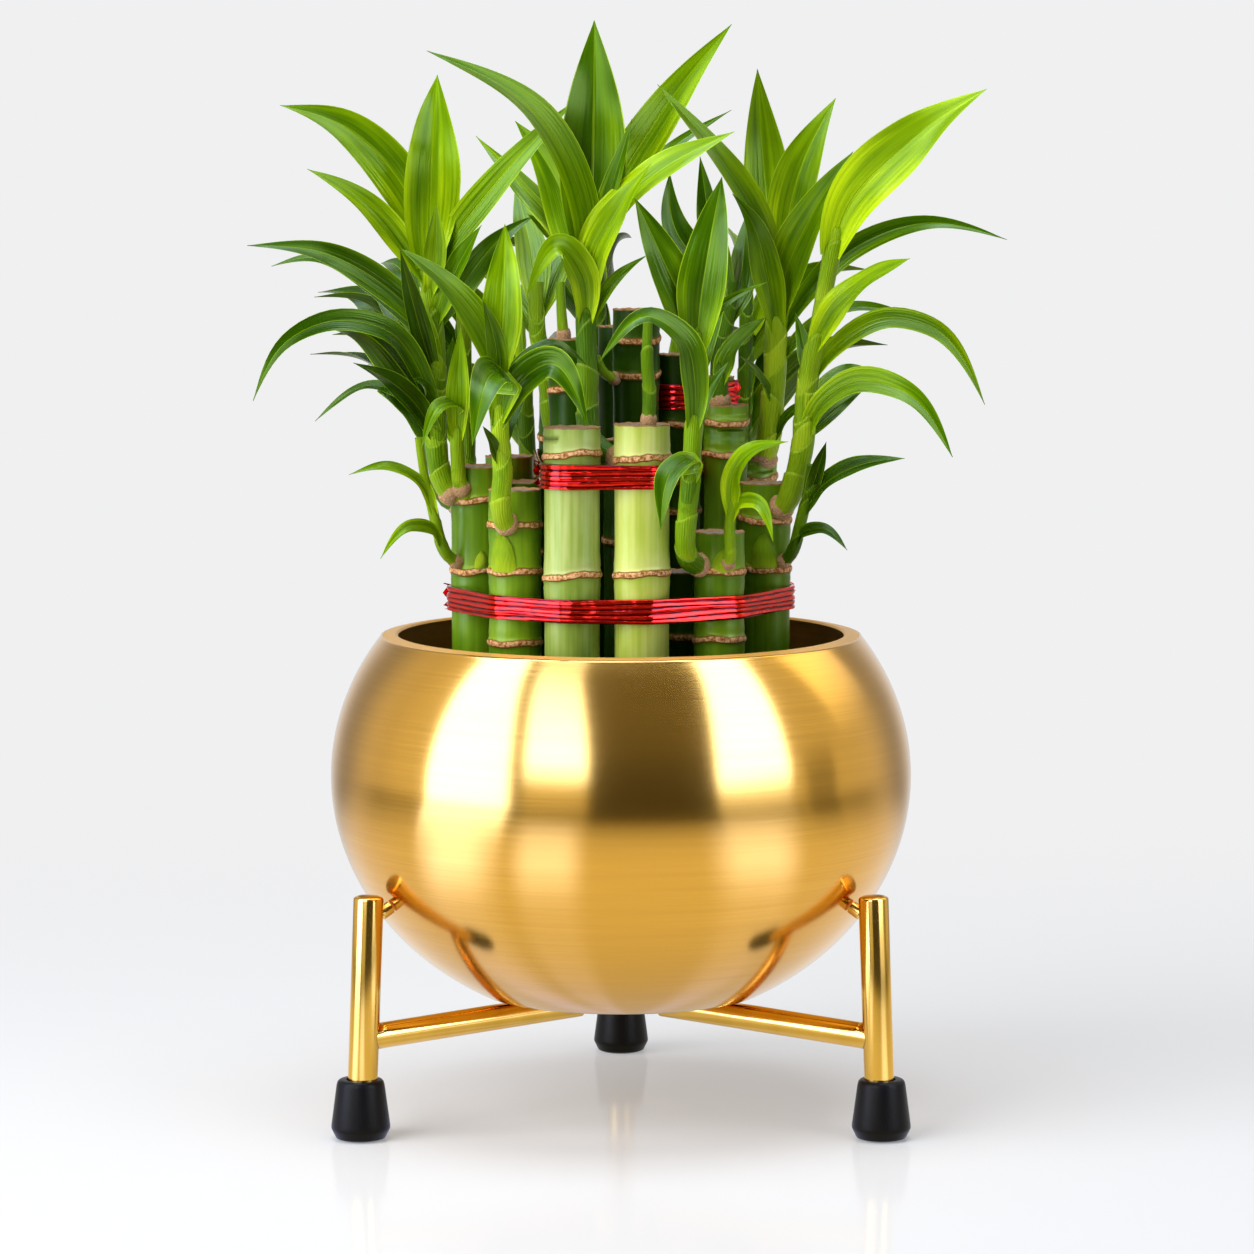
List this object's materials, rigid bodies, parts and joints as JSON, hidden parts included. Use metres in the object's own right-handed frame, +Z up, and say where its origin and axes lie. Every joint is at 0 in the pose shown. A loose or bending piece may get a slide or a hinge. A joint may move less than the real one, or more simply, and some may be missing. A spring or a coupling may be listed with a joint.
{
  "type": "lucky bamboo in a bowl",
  "caption": "Tiered tower of living lucky bamboo canes with leafy shoots, tied with foil ribbons, in a round metal bowl on a tube stand with rubber feet.",
  "frame": {"origin": "on the floor, under the middle of the part's overall outline", "axes": "+Z up, -Y towards the front, +X to the right as seen from the front"},
  "size_m": [0.1928, 0.1612, 0.2809],
  "materials": {
    "living_bamboo": "living green cane and leaves, waxy, with brown joint rings",
    "brushed_gold": "brushed round the bowl, satin",
    "polished_gold": "polished",
    "black_rubber": "matt moulded rubber",
    "dark_pebbles": "dark polished pebbles",
    "red_foil": "metallised red film, crumpled and glossy"
  },
  "bodies": {
    "root": {"bowl": "brushed_gold", "pebble_fill": "dark_pebbles", "leg_right": "polished_gold", "rail_right": "polished_gold", "stud_right": "polished_gold", "foot_right": "black_rubber", "leg_left": "polished_gold", "rail_left": "polished_gold", "stud_left": "polished_gold", "foot_left": "black_rubber", "leg_back": "polished_gold", "rail_back": "polished_gold", "stud_back": "polished_gold", "foot_back": "black_rubber", "stand_hub": "polished_gold", "cane_front_far_left": "living_bamboo", "cane_front_left": "living_bamboo", "cane_front_mid_left": "living_bamboo", "cane_front_mid_right": "living_bamboo", "cane_front_right": "living_bamboo", "cane_front_far_right": "living_bamboo", "cane_middle_front_right": "living_bamboo", "cane_middle_front": "living_bamboo", "cane_middle_left": "living_bamboo", "cane_middle_right": "living_bamboo", "cane_tall_left": "living_bamboo", "cane_tall_centre": "living_bamboo", "cane_tall_back_left": "living_bamboo", "cane_tall_back_right": "living_bamboo", "cane_tall_back": "living_bamboo", "cane_back_far_right": "living_bamboo", "cane_back_right": "living_bamboo", "cane_back_mid_right": "living_bamboo", "cane_back_middle": "living_bamboo", "cane_back_mid_left": "living_bamboo", "cane_back_left": "living_bamboo", "cane_back_far_left": "living_bamboo", "ribbon_lower": "red_foil", "ribbon_upper": "red_foil", "ribbon_top": "red_foil"}
  },
  "joints": []
}
